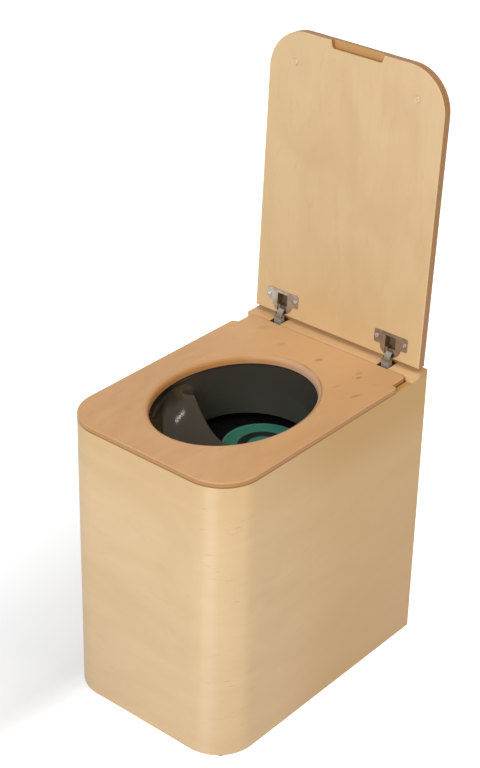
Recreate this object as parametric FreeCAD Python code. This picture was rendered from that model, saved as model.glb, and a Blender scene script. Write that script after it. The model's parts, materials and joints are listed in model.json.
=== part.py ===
import FreeCAD, Part
import math
import os

# A dry toilet: a bent plywood casing, a lift-off seat with a separating insert, two containers and a lid
# on cup hinges, shown with the lid open. Millimetres, +Z up, z = 0 on the floor, x = 0 in the middle,
# the sitter faces -Y. The pieces are made about the middle of the casing, and the last step moves them
# so that the origin is under the middle of the whole object, the leaning lid included.

# Casing
casing_width = 300.0
casing_depth = 432.0
seat_height = 450.0
corner_radius = 61.0
wall = 10.0
rear_panel_thickness = 12.0
base_thickness = 10.0
glue_gap = 0.1
glide_thickness = 2.0
glide_radius = 10.0
glide_edge_margin = 1.5

# Hinge rail across the rear of the top
rail_depth = 36.5
pocket_width = 20.0

# Seat
seat_lip = 8.0
seat_thickness = 15.0
seat_play = 1.0
rail_gap = 0.6
notch_length = 33.0
notch_depth = 10.0
notch_round = 8.0
seat_edge_round = 2.0
hole_side_margin = 47.0
hole_front_margin = 57.5
hole_rear_margin = 75.0
hole_round = 8.0

# Separating insert
insert_wall = 3.0
hole_overhang = 1.0
flange_width = 14.0
chute_drop = 95.0
chute_side_inset = 10.0
chute_rear_inset = 2.5
foot_front_inset = 18.5
drain_front_inset = 46.5
drain_radius = 11.0
drain_depth = 108.0
sump_radius = 30.0
spout_drop = 145.0
# The lip's ends and the lip's bow as shares of the way from the chute's middle to the drain, and the
# floor's reach as a share of half the hole's length.
lip_end_share = 0.145
lip_bow_share = 0.281
bowl_reach_share = 1.3536
# How the bowl's floor climbs away from the drain: shares of its reach and of the drain's depth.
bowl_floor_shares = [(0.18, 0.77), (0.35, 0.66), (0.46, 0.52), (0.6, 0.345)]
bowl_floor_shares += [(0.73, 0.25), (0.86, 0.18), (1.0, 0.08)]
insert_screw_count = 6

# Wood screws
screw_radius = 1.6
screw_head_radius = 3.2
screw_head_height = 2.0
screw_gap = 0.05
insert_screw_grip = 9.0

# Solids bucket and its lid, as large as the room behind the canister and between the walls allows
bucket_side_gap = 23.4
bucket_rear_gap = 22.9
bucket_taper = 19.0
bucket_wall = 2.2
bucket_rim_width = 3.0
bucket_rim_height = 8.0
bucket_lid_drop = 108.0
bucket_lid_thickness = 2.5
bucket_lid_skirt = 9.0
bucket_lid_play = 0.4
label_inset = 56.6
label_thickness = 0.4

# Liquids canister
canister_play = 4.0
canister_bucket_gap = 5.0
canister_rear_round = 15.0
canister_wall = 2.0
canister_edge_round = 12.0
canister_top_drop = 163.0
neck_radius = 24.0
neck_height = 28.0
neck_rear_margin = 6.4

# Lid, leaning back on its open stop
lid_side_inset = 2.0
lid_end_inset = 3.0
lid_thickness = 15.0
lid_lean_deg = 2.56
lid_setback = 20.6
lid_rise = 7.3
lid_edge_round = 1.5
grip_half_width = 45.0
grip_slant = 3.0
grip_depth = 11.0
grip_into_board = 7.0
grip_round = 4.0
bumper_side_inset = 45.0
bumper_top_inset = 45.0
bumper_radius = 5.0
bumper_height = 2.7
bumper_round = 1.5

# Cup hinges
hinge_inset = 52.0
cup_radius = 17.4
cup_depth = 11.4
cup_wall = 0.7
cup_up = 19.7
cup_mouth_half_width = 9.0
cup_mouth_top = 33.0
bore_gap = 0.1
cup_flange_width = 57.0
cup_flange_height = 20.6
cup_flange_thickness = 1.2
cup_flange_round = 2.5
cup_flange_up = 27.7
cup_screw_spacing = 48.0
cup_screw_grip = 8.5
cup_screw_head_height = 0.8
pin_radius = 1.6
pin_seat_gap = 0.02
pin_running_gap = 0.05
cup_pin_up = 10.05
cup_pin_in = 5.0
cup_boss_half_height = 4.2
cup_pin_margin = 3.0
cup_slot_side_gap = 0.78
cup_slot_end_gap = 0.1
link_width = 10.0
link_side_gap = 0.3
link_thickness = 2.2
link_bow = 2.5
link_eye_radius = 2.4
link_pivot_setback = 27.0
link_pivot_rise = 8.0
arm_sheet = 1.2
arm_eye_radius = 3.8
arm_drop = 62.0
arm_shoulder_drop = 12.0
arm_neck_rise = 2.0
arm_web_rise = 9.5
arm_screw_drops = (26.0, 46.0)
arm_screw_radius = 2.0
arm_screw_head_radius = 3.0
arm_screw_head_height = 1.5
arm_screw_grip = 2.5
plate_boss_thickness = 5.0
plate_boss_margin = 2.0
plate_top_drop = 16.0
plate_bottom_drop = 60.0
plate_wing_half_width = 26.0
plate_wing_thickness = 2.0
plate_wing_height = 18.0
plate_screw_spacing = 32.0
plate_screw_grip = 9.0

# How far a cutting shape reaches past the face it cuts, and how closely an edge is picked by its place
overrun = 1.0
box_tolerance = 0.01

# Places that follow from the sizes above
half_width = casing_width / 2
inner_half = half_width - wall
front_y = -casing_depth / 2
rear_y = casing_depth / 2
rear_inner_y = rear_y - rear_panel_thickness
wall_top = seat_height - seat_lip
seat_under = seat_height - seat_thickness
base_top = glide_thickness + base_thickness
rail_front_y = rear_y - rail_depth
seat_rear_y = rail_front_y - rail_gap
hinge_xs = (hinge_inset - half_width, half_width - hinge_inset)
lid_width = casing_width - 2 * lid_side_inset
lid_length = casing_depth - lid_end_inset
bumper_x = lid_width / 2 - bumper_side_inset
bumper_up = lid_length - bumper_top_inset
lid_lean = math.radians(lid_lean_deg)
lid_base_y = rear_y - lid_setback
lid_base_z = seat_height + lid_rise
link_pivot_y = rear_y - link_pivot_setback
link_pivot_z = seat_height + link_pivot_rise
cup_pin_y = lid_base_y + cup_pin_up * math.sin(lid_lean) + cup_pin_in * math.cos(lid_lean)
cup_pin_z = lid_base_z + cup_pin_up * math.cos(lid_lean) - cup_pin_in * math.sin(lid_lean)
link_length = math.hypot(cup_pin_y - link_pivot_y, cup_pin_z - link_pivot_z)
link_slope = math.atan2(cup_pin_z - link_pivot_z, cup_pin_y - link_pivot_y)
link_eye_half = link_width / 2 + link_side_gap
arm_half = link_eye_half + arm_sheet
arm_front_y = link_pivot_y - arm_eye_radius
arm_back_y = rear_inner_y - plate_boss_thickness
hole_half_width = half_width - hole_side_margin
hole_front_y = front_y + hole_front_margin
hole_rear_y = rail_front_y - hole_rear_margin
hole_y = (hole_front_y + hole_rear_y) / 2
hole_half_length = (hole_rear_y - hole_front_y) / 2
chute_radius = hole_half_width - chute_side_inset
chute_y = hole_rear_y - chute_rear_inset - chute_radius
foot_front_reach = chute_y - hole_front_y - foot_front_inset
drain_y = hole_front_y + drain_front_inset
lip_end_y = chute_y - (chute_y - drain_y) * lip_end_share
lip_sagitta = (chute_y - drain_y) * lip_bow_share
bowl_reach = hole_half_length * bowl_reach_share
drain_z = seat_height - drain_depth
chute_z = seat_height - chute_drop
spout_z = seat_height - spout_drop
rim_half_width = hole_half_width + hole_overhang
rim_half_length = hole_half_length + hole_overhang
bucket_lid_z = seat_height - bucket_lid_drop
bucket_rim_z = bucket_lid_z - bucket_lid_thickness
canister_back_y = drain_y + neck_radius + neck_rear_margin
canister_top_z = seat_height - canister_top_drop
bucket_front_y = canister_back_y + canister_bucket_gap
bucket_room = rail_front_y - bucket_rear_gap - bucket_front_y
bucket_lid_radius = min(inner_half - bucket_side_gap, bucket_room / 2)
bucket_rim_radius = bucket_lid_radius - bucket_wall - bucket_lid_play
bucket_y = bucket_front_y + bucket_lid_radius
# The lid swings shut about one line, which carries the cup's pin from the open link's end to the end of
# the link lying level. At half the swing the pin has gone deepest into the cup, and a slot gives it room.
lid_swing_deg = 90 + lid_lean_deg
half_swing = math.radians(lid_swing_deg / 2)
lid_axis_y = (cup_pin_y + link_pivot_y + link_length) / 2
lid_axis_y += (cup_pin_z - link_pivot_z) / 2 / math.tan(half_swing)
lid_axis_z = (cup_pin_z + link_pivot_z) / 2
lid_axis_z += (link_pivot_y + link_length - cup_pin_y) / 2 / math.tan(half_swing)
deep_y = link_pivot_y + link_length * math.cos(link_slope / 2) - lid_axis_y
deep_z = link_pivot_z + link_length * math.sin(link_slope / 2) - lid_axis_z
deep_back_y = lid_axis_y + deep_y * math.cos(half_swing) + deep_z * math.sin(half_swing) - lid_base_y
deep_back_z = lid_axis_z - deep_y * math.sin(half_swing) + deep_z * math.cos(half_swing) - lid_base_z
cup_slot_in = deep_back_y * math.cos(lid_lean) - deep_back_z * math.sin(lid_lean)
cup_slot_up = deep_back_y * math.sin(lid_lean) + deep_back_z * math.cos(lid_lean)
# The open lid's rounded top edge reaches this far behind the rear panel.
lid_round_y = (lid_length - lid_edge_round) * math.sin(lid_lean)
lid_round_y += (lid_thickness - lid_edge_round) * math.cos(lid_lean) + lid_edge_round
lid_overhang = lid_round_y - lid_setback


def vec(x, y, z):
    return FreeCAD.Vector(x, y, z)


X_AXIS = vec(1, 0, 0)
Y_AXIS = vec(0, 1, 0)
Z_AXIS = vec(0, 0, 1)
ORIGIN = vec(0, 0, 0)


def block(x_span, y_span, z_span):
    """A box between three (low, high) spans."""
    low, high = zip(x_span, y_span, z_span)
    return Part.makeBox(*[b - a for a, b in zip(low, high)], vec(*low))


def around(middle, half):
    """The (low, high) span of a half-size each side of a middle."""
    return (middle - half, middle + half)


def rounded_wire(corners):
    """A closed wire in the XY plane through (x, y, radius) corners, each rounded by a tangent arc."""
    entries, exits, middles = [], [], []
    for before, here, after in zip(corners[-1:] + corners[:-1], corners, corners[1:] + corners[:1]):
        corner = vec(here[0], here[1], 0)
        back = (vec(before[0], before[1], 0) - corner).normalize()
        on = (vec(after[0], after[1], 0) - corner).normalize()
        half_turn = back.getAngle(on) / 2
        reach = here[2] / math.tan(half_turn)
        depth = here[2] / math.sin(half_turn) - here[2]
        entries.append(corner + back * reach)
        exits.append(corner + on * reach)
        middles.append(corner + (back + on).normalize() * depth)
    edges = []
    for place, corner in enumerate(corners):
        if corner[2] > 0:
            edges.append(Part.Arc(entries[place], middles[place], exits[place]).toShape())
        following = entries[(place + 1) % len(corners)]
        edges.append(Part.LineSegment(exits[place], following).toShape())
    return Part.Wire(edges)


def upright(wire, z_span):
    """The prism of an XY outline between two heights."""
    face = Part.Face(wire)
    face.translate(vec(0, 0, z_span[0]))
    return face.extrude(vec(0, 0, z_span[1] - z_span[0]))


def along_x(wire, x_span):
    """The prism along X of an outline drawn as (y, z) in the XY plane."""
    face = Part.Face(wire)
    face.rotate(ORIGIN, vec(1, 1, 1), 120)
    face.translate(vec(x_span[0], 0, 0))
    return face.extrude(vec(x_span[1] - x_span[0], 0, 0))


def rod(start, axis, radius, length):
    """A cylinder of a radius and length from a start point along an axis."""
    return Part.makeCylinder(radius, length, start, axis)


def screw(start, axis, radius, grip, head_radius, head_height):
    """A screw whose head sits behind the start point and whose shank runs along the axis."""
    head = rod(start - axis * head_height, axis, head_radius, head_height)
    return head.fuse(rod(start, axis, radius, grip))


def rounded_edges(shape, radius, wanted):
    """The shape with a round of a radius on each edge that the test picks."""
    return shape.makeFillet(radius, [edge for edge in shape.Edges if wanted(edge.BoundBox)])


def at_height(z):
    """A test for edges that lie flat at one height."""
    return lambda box: abs(box.ZMin - z) < box_tolerance and abs(box.ZMax - z) < box_tolerance


def on_lid(shape):
    """Moves a shape from the lid's own frame, y into the board and z up it, to the open lid."""
    moved = shape.copy()
    moved.rotate(ORIGIN, X_AXIS, -lid_lean_deg)
    moved.translate(vec(0, lid_base_y, lid_base_z))
    return moved


def casing_wire(inset, back_y):
    """Plan of the casing, inset from its outer face: both front corners round, both rear ones square."""
    side = half_width - inset
    radius = corner_radius - inset
    front = front_y + inset
    corners = [(-side, front, radius), (side, front, radius), (side, back_y, 0), (-side, back_y, 0)]
    return rounded_wire(corners)


def make_casing_shell():
    outer = upright(casing_wire(0, rear_y), (glide_thickness, wall_top))
    inner = upright(casing_wire(wall, rear_y + overrun), (glide_thickness - overrun, wall_top + overrun))
    return outer.cut(inner)


def plate_screw_starts():
    """Where the mounting plates' screws enter the face of the wings."""
    middle_z = seat_height - (plate_top_drop + plate_bottom_drop) / 2
    wing_y = rear_inner_y - plate_wing_thickness
    offsets = (-plate_screw_spacing / 2, plate_screw_spacing / 2)
    return [vec(x + offset, wing_y, middle_z) for x in hinge_xs for offset in offsets]


def screw_holes(starts, axis, radius, grip):
    """Clearance holes for a set of screws, slightly deeper than their shanks."""
    return [rod(start, axis, radius + screw_gap, grip + screw_gap) for start in starts]


def make_rear_panel():
    panel = block(around(0, inner_half), (rear_inner_y, rear_y), (glide_thickness, wall_top))
    depth = plate_wing_thickness + plate_screw_grip
    return panel.cut(screw_holes(plate_screw_starts(), Y_AXIS, screw_radius, depth))


def make_base_panel():
    return upright(casing_wire(wall + glue_gap, rear_inner_y), (glide_thickness, base_top))


def make_hinge_rail():
    rail = block(around(0, half_width), (rail_front_y, rear_y), (wall_top, seat_height))
    pocket_y = (rail_front_y - overrun, rear_inner_y)
    pocket_z = (wall_top - overrun, seat_height + overrun)
    return rail.cut([block(around(x, pocket_width / 2), pocket_y, pocket_z) for x in hinge_xs])


def make_glides():
    """Four discs: the front pair on the diagonal of the round corners, the rear pair at the square ones."""
    diagonal = (corner_radius - glide_radius - glide_edge_margin) * math.sqrt(0.5)
    front = (half_width - corner_radius + diagonal, front_y + corner_radius - diagonal)
    rear = (half_width - glide_radius - glide_edge_margin, rear_y - glide_radius - glide_edge_margin)
    places = [vec(side * x, y, 0) for x, y in (front, rear) for side in (-1, 1)]
    return Part.makeCompound([rod(place, Z_AXIS, glide_radius, glide_thickness) for place in places])


def seat_lip_wire():
    """Plan of the seat: round front corners, and a narrower tongue behind the finger notches."""
    notch_y = rail_front_y - notch_length
    tongue = half_width - notch_depth
    right = [
        (half_width, front_y, corner_radius),
        (half_width, notch_y, notch_round),
        (tongue, notch_y, 0),
        (tongue, seat_rear_y, notch_round),
    ]
    left = [(-x, y, radius) for x, y, radius in reversed(right)]
    return rounded_wire(right + left)


def quarter(middle, start, end):
    """A quarter of an ellipse from middle + start to middle + end."""
    curve = Part.BezierCurve()
    curve.setPoles([middle + start, middle + start + end, middle + end])
    curve.setWeight(2, math.sqrt(0.5))
    return curve.toShape()


def egg_wire(middle_y, z, half, front, rear):
    """An oval of four quarter ellipses, with its own reach to the front and to the rear."""
    middle = vec(0, middle_y, z)
    ends = [X_AXIS * half, Y_AXIS * rear, X_AXIS * -half, Y_AXIS * -front]
    return Part.Wire([quarter(middle, a, b) for a, b in zip(ends, ends[1:] + ends[:1])])


def oval_wire(grow):
    """The outline of the seat's hole, grown by a margin."""
    length = hole_half_length + grow
    return egg_wire(hole_y, 0, hole_half_width + grow, length, length)


def insert_screw_starts():
    """Where the insert's screws enter its flange from below, evenly round the oval."""
    grow = hole_overhang + insert_wall + (flange_width - insert_wall) / 2
    turns = [2 * math.pi * (step + 0.5) / insert_screw_count for step in range(insert_screw_count)]
    return [
        vec(
            (hole_half_width + grow) * math.cos(turn),
            (hole_half_length + grow) * math.sin(turn) + hole_y,
            seat_under - insert_wall,
        )
        for turn in turns
    ]


def insert_screw_length():
    return insert_wall + insert_screw_grip


def make_seat_board():
    lip = upright(seat_lip_wire(), (wall_top, seat_height))
    lip = rounded_edges(lip, seat_edge_round, at_height(seat_height))
    spigot = upright(casing_wire(wall + seat_play, seat_rear_y), (seat_under, wall_top))
    board = lip.fuse(spigot).removeSplitter()
    board = board.cut(upright(oval_wire(0), (seat_under - overrun, seat_height + overrun)))
    on_top = at_height(seat_height)
    hole_edge = lambda box: on_top(box) and max(box.XMax, -box.XMin) < hole_half_width + box_tolerance
    board = rounded_edges(board, hole_round, hole_edge)
    return board.cut(screw_holes(insert_screw_starts(), Z_AXIS, screw_radius, insert_screw_length()))


def tub(grow):
    """The insert's body as a block, grown from its inner face: oval at the seat, round at the chute."""
    length = rim_half_length + grow
    top = egg_wire(hole_y, seat_under, rim_half_width + grow, length, length)
    radius = chute_radius + grow
    foot = egg_wire(chute_y, chute_z, radius, foot_front_reach + grow, radius)
    return Part.makeLoft([top, foot], True, True)


def floor_curve(lower):
    """The bowl's floor from the drain outwards, lowered by a margin, as a curve in the YZ plane."""
    points = [vec(0, drain_y + drain_radius, drain_z - lower)]
    for reach_share, depth_share in bowl_floor_shares:
        z = seat_height - depth_share * drain_depth - lower
        points.append(vec(0, drain_y + reach_share * bowl_reach, z))
    curve = Part.BSplineCurve()
    curve.interpolate(points)
    return curve.toShape(), points[0], points[-1]


def about_drain(edges):
    """The solid of revolution of closed edges about the drain's upright axis."""
    outline = Part.Wire(Part.sortEdges(edges)[0])
    return Part.Face(outline).revolve(vec(0, drain_y, 0), Z_AXIS, 360)


def polyline(points):
    """Straight edges through points."""
    return [Part.LineSegment(a, b).toShape() for a, b in zip(points, points[1:])]


def behind_lip(grow):
    """Everything behind the dividing lip, whose plan is one arc from side to side, grown forwards."""
    side = chute_radius
    arc_radius = (side**2 + lip_sagitta**2) / (2 * lip_sagitta)
    arc_y = lip_end_y - lip_sagitta + arc_radius
    z_span = (chute_z - overrun, seat_height)
    ahead = rod(vec(0, arc_y, z_span[0]), Z_AXIS, arc_radius + grow, z_span[1] - z_span[0])
    return ahead.fuse(block(around(0, half_width), (arc_y, rear_y), z_span))


def make_urine_diverter():
    upper, upper_in, upper_out = floor_curve(0)
    lower, lower_in, lower_out = floor_curve(insert_wall)
    ends = polyline([upper_in, lower_in]) + polyline([upper_out, lower_out])
    floor = about_drain([upper, lower] + ends)
    lid_out = vec(0, upper_out.y, seat_height)
    lid_in = vec(0, upper_in.y, seat_height)
    above_floor = about_drain([upper] + polyline([upper_out, lid_out, lid_in, upper_in]))
    within_wall = tub(insert_wall / 2)
    sump_axis = vec(0, drain_y, spout_z)
    sump = rod(sump_axis, Z_AXIS, sump_radius, seat_under - spout_z)
    floor = floor.common(within_wall.fuse(sump)).cut(behind_lip(0))
    apron = within_wall.common(behind_lip(insert_wall)).cut([behind_lip(0), above_floor])
    spout = rod(sump_axis, Z_AXIS, drain_radius + insert_wall, drain_z - spout_z)
    flange = upright(oval_wire(hole_overhang + flange_width), (seat_under - insert_wall, seat_under))
    shell = tub(insert_wall).fuse(flange).cut(tub(0))
    bore = rod(sump_axis - Z_AXIS * overrun, Z_AXIS, drain_radius, drain_z - spout_z + overrun)
    insert = shell.fuse([floor, apron, spout]).cut(bore)
    insert = insert.cut(screw_holes(insert_screw_starts(), Z_AXIS, screw_radius, insert_screw_length()))
    return insert.removeSplitter()


def make_diverter_screws():
    shape = (screw_radius, insert_screw_length(), screw_head_radius, screw_head_height)
    return Part.makeCompound([screw(start, Z_AXIS, *shape) for start in insert_screw_starts()])


def about_bucket(points):
    """The solid of revolution of (radius, z) points about the bucket's upright axis."""
    places = [vec(0, bucket_y + radius, z) for radius, z in points + points[:1]]
    return Part.Face(Part.Wire(polyline(places))).revolve(vec(0, bucket_y, 0), Z_AXIS, 360)


def make_solids_bucket():
    base_radius = bucket_rim_radius - bucket_taper
    throat = bucket_rim_radius - bucket_rim_width
    bead_z = bucket_rim_z - bucket_rim_height
    return about_bucket(
        [
            (0, base_top),
            (base_radius, base_top),
            (throat, bead_z),
            (bucket_rim_radius, bead_z),
            (bucket_rim_radius, bucket_rim_z),
            (throat - bucket_wall, bucket_rim_z),
            (base_radius - bucket_wall, base_top + bucket_wall),
            (0, base_top + bucket_wall),
        ]
    )


def make_bucket_lid():
    skirt = bucket_rim_radius + bucket_lid_play
    skirt_z = bucket_rim_z - bucket_lid_skirt
    return about_bucket(
        [
            (0, bucket_rim_z),
            (skirt, bucket_rim_z),
            (skirt, skirt_z),
            (bucket_lid_radius, skirt_z),
            (bucket_lid_radius, bucket_lid_z),
            (0, bucket_lid_z),
        ]
    )


def make_bucket_label():
    return rod(vec(0, bucket_y, bucket_lid_z), Z_AXIS, bucket_lid_radius - label_inset, label_thickness)


def canister_block(inset):
    """The canister's body inset from its outer face: it follows the casing's front corners."""
    side = inner_half - canister_play - inset
    front = front_y + wall + canister_play + inset
    back = canister_back_y - inset
    front_round = corner_radius - wall - canister_play - inset
    back_round = canister_rear_round - inset
    z_span = (base_top + inset, canister_top_z - inset)
    corners = [(-side, front, front_round), (side, front, front_round)]
    corners += [(side, back, back_round), (-side, back, back_round)]
    body = upright(rounded_wire(corners), z_span)
    return rounded_edges(body, canister_edge_round - inset, at_height(z_span[1]))


def make_urine_canister():
    shoulder = vec(0, drain_y, canister_top_z - canister_edge_round)
    length = canister_edge_round + neck_height
    body = canister_block(0).fuse(rod(shoulder, Z_AXIS, neck_radius, length))
    bore = rod(shoulder, Z_AXIS, neck_radius - canister_wall, length + overrun)
    return body.cut(canister_block(canister_wall)).cut(bore)


def cup_screw_starts():
    """Where the cups' screws enter their flanges, in the lid's frame."""
    offsets = [x + side * cup_screw_spacing / 2 for x in hinge_xs for side in (-1, 1)]
    return [vec(x, -cup_flange_thickness, cup_flange_up) for x in offsets]


def cup_screw_holes():
    return screw_holes(cup_screw_starts(), Y_AXIS, screw_radius, cup_flange_thickness + cup_screw_grip)


def standing(wire, y_span):
    """The prism through the lid's thickness of an outline drawn as (x, z) in the XY plane."""
    face = Part.Face(wire)
    face.rotate(ORIGIN, X_AXIS, 90)
    face.translate(vec(0, y_span[0], 0))
    return face.extrude(vec(0, y_span[1] - y_span[0], 0))


def make_lid_board():
    half = lid_width / 2
    outline = [(-half, 0, 0), (half, 0, 0)]
    outline += [(half, lid_length, corner_radius), (-half, lid_length, corner_radius)]
    board = standing(rounded_wire(outline), (0, lid_thickness))
    on_face = lambda box: box.YLength < box_tolerance
    board = rounded_edges(board, lid_edge_round, on_face)
    low = grip_half_width - grip_slant
    grip_z = lid_length - grip_depth
    grip = [(-low, grip_z, grip_round), (low, grip_z, grip_round)]
    grip += [(grip_half_width, lid_length + overrun, 0), (-grip_half_width, lid_length + overrun, 0)]
    cuts = [standing(rounded_wire(grip), (-overrun, grip_into_board))]
    bore_depth = cup_depth + bore_gap + overrun
    cuts += [rod(vec(x, -overrun, cup_up), Y_AXIS, cup_radius + bore_gap, bore_depth) for x in hinge_xs]
    return on_lid(board.cut(cuts + cup_screw_holes()))


def make_lid_bumper(x):
    dome = rod(vec(x, 0, bumper_up), -Y_AXIS, bumper_radius, bumper_height)
    outer_face = lambda box: abs(box.YMax + bumper_height) < box_tolerance
    return on_lid(rounded_edges(dome, bumper_round, outer_face))


def cup_slot(x):
    """Room for the cup's pin, which rides with the link and goes deeper into the cup at half the swing."""
    span = around(x, pin_reach() + cup_slot_end_gap)
    radius = pin_radius + cup_slot_side_gap
    start = vec(span[0], cup_pin_in, cup_pin_up)
    deep = vec(span[0], cup_slot_in, cup_slot_up)
    side = (deep - start).cross(X_AXIS).normalize() * radius
    corners = [start + side, deep + side, deep - side, start - side]
    band = along_x(rounded_wire([(corner.y, corner.z, 0) for corner in corners]), span)
    return band.fuse([rod(place, X_AXIS, radius, span[1] - span[0]) for place in (start, deep)])


def make_hinge_cup(x):
    """A round cup with a flange on the lid's face, a narrow mouth and two bosses with slots for the pin."""
    cup = rod(vec(x, 0, cup_up), Y_AXIS, cup_radius, cup_depth)
    half = cup_flange_width / 2
    low, high = around(cup_flange_up, cup_flange_height / 2)
    flange = [(x - half, low, cup_flange_round), (x + half, low, cup_flange_round)]
    flange += [(x + half, high, cup_flange_round), (x - half, high, cup_flange_round)]
    face = vec(x, -cup_flange_thickness, cup_up)
    ring = rod(face, Y_AXIS, cup_radius + cup_wall, cup_flange_thickness)
    body = cup.fuse([standing(rounded_wire(flange), (-cup_flange_thickness, 0)), ring])
    hollow_depth = cup_depth - cup_wall
    hollow_y = (-cup_flange_thickness - overrun, hollow_depth)
    hollow = rod(vec(x, hollow_y[0], cup_up), Y_AXIS, cup_radius - cup_wall, hollow_y[1] - hollow_y[0])
    hollow = hollow.common(block(around(x, cup_mouth_half_width), hollow_y, (0, cup_mouth_top)))
    boss_y = (cup_pin_in - cup_boss_half_height, hollow_depth)
    bosses = block(around(x, cup_radius), boss_y, around(cup_pin_up, cup_boss_half_height))
    slot = block(around(x, link_eye_half), (0, cup_depth), around(cup_pin_up, cup_radius))
    well = rod(vec(x, 0, cup_up), Y_AXIS, cup_radius - cup_wall / 2, cup_depth)
    bosses = bosses.cut(slot).common(well)
    cup = body.cut(hollow).fuse(bosses)
    return on_lid(cup.cut([cup_slot(x)] + cup_screw_holes()).removeSplitter())


def pin_reach():
    """Half the length of a cup's pin: past the link and into both bosses."""
    return link_eye_half + cup_pin_margin


def make_cup_pin(x):
    start = vec(x - pin_reach(), cup_pin_in, cup_pin_up)
    return on_lid(rod(start, X_AXIS, pin_radius, 2 * pin_reach()))


def make_cup_screws():
    length = cup_flange_thickness + cup_screw_grip
    shape = (screw_radius, length, screw_head_radius, cup_screw_head_height)
    return on_lid(Part.makeCompound([screw(start, Y_AXIS, *shape) for start in cup_screw_starts()]))


def make_hinge_link(x):
    """A bowed strap with an eye at each end, from the arm's pin up into the cup."""
    half = link_thickness / 2
    middle = link_length / 2
    over = Part.Arc(vec(0, half, 0), vec(middle, link_bow + half, 0), vec(link_length, half, 0))
    under = Part.Arc(vec(link_length, -half, 0), vec(middle, link_bow - half, 0), vec(0, -half, 0))
    ends = polyline([vec(link_length, half, 0), vec(link_length, -half, 0)])
    ends += polyline([vec(0, -half, 0), vec(0, half, 0)])
    outline = Part.sortEdges([over.toShape(), under.toShape()] + ends)[0]
    strap = upright(Part.Wire(outline), (0, link_width))
    centres = [ORIGIN, vec(link_length, 0, 0)]
    eyes = [rod(centre, Z_AXIS, link_eye_radius, link_width) for centre in centres]
    gaps = [pin_running_gap, pin_seat_gap]
    holes = [rod(centre, Z_AXIS, pin_radius + gap, link_width) for centre, gap in zip(centres, gaps)]
    link = strap.fuse(eyes).cut(holes).removeSplitter()
    link.rotate(ORIGIN, Z_AXIS, math.degrees(link_slope))
    link.rotate(ORIGIN, vec(1, 1, 1), 120)
    link.translate(vec(x - link_width / 2, link_pivot_y, link_pivot_z))
    return link


def arm_screw_starts(x):
    return [vec(x, arm_front_y, seat_height - drop) for drop in arm_screw_drops]


def make_hinge_arm(x):
    """A channel of sheet steel, open to the rear, whose two cheeks rise to hold the link's pin."""
    foot_z = seat_height - arm_drop
    neck_y = link_pivot_y + arm_eye_radius
    neck_z = seat_height + arm_neck_rise
    eye_z = link_pivot_z + arm_eye_radius
    outline = [
        (arm_front_y, foot_z, 0),
        (arm_back_y, foot_z, 0),
        (arm_back_y, seat_height - arm_shoulder_drop, arm_eye_radius),
        (neck_y, neck_z, 0),
        (neck_y, eye_z, arm_eye_radius - pin_seat_gap),
        (arm_front_y, eye_z, arm_eye_radius - pin_seat_gap),
    ]
    arm = along_x(rounded_wire(outline), around(x, arm_half))
    inside = around(x, link_eye_half)
    channel = block(inside, (arm_front_y + arm_sheet, rear_y), (foot_z - overrun, eye_z + overrun))
    web_z = seat_height + arm_web_rise
    fork = block(inside, (arm_front_y - overrun, rear_y), (web_z, eye_z + overrun))
    pin_start = vec(x - arm_half, link_pivot_y, link_pivot_z)
    pin_hole = rod(pin_start, X_AXIS, pin_radius + pin_seat_gap, 2 * arm_half)
    web_holes = screw_holes(arm_screw_starts(x), Y_AXIS, arm_screw_radius, arm_sheet)
    return arm.cut([channel, fork, pin_hole] + web_holes)


def arm_screw_length():
    return arm_back_y - arm_front_y + arm_screw_grip


def make_arm_pin(x):
    return rod(vec(x - arm_half, link_pivot_y, link_pivot_z), X_AXIS, pin_radius, 2 * arm_half)


def make_hinge_plate(x):
    """A boss that carries the arm, with a wing each side for a wood screw."""
    top_z = seat_height - plate_top_drop
    foot_z = seat_height - plate_bottom_drop
    boss_half = arm_half + plate_boss_margin
    boss = block(around(x, boss_half), (arm_back_y, rear_inner_y), (foot_z, top_z))
    wing_y = (rear_inner_y - plate_wing_thickness, rear_inner_y)
    wing_z = around((top_z + foot_z) / 2, plate_wing_height / 2)
    wings = block(around(x, plate_wing_half_width), wing_y, wing_z)
    holes = screw_holes(plate_screw_starts(), Y_AXIS, screw_radius, plate_wing_thickness)
    holes += screw_holes(arm_screw_starts(x), Y_AXIS, arm_screw_radius, arm_screw_length())
    return boss.fuse(wings).cut(holes).removeSplitter()


def make_arm_screws():
    shape = (arm_screw_radius, arm_screw_length(), arm_screw_head_radius, arm_screw_head_height)
    starts = arm_screw_starts(hinge_xs[0]) + arm_screw_starts(hinge_xs[1])
    return Part.makeCompound([screw(start, Y_AXIS, *shape) for start in starts])


def make_plate_screws():
    length = plate_wing_thickness + plate_screw_grip
    shape = (screw_radius, length, screw_head_radius, screw_head_height)
    return Part.makeCompound([screw(start, Y_AXIS, *shape) for start in plate_screw_starts()])


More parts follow.
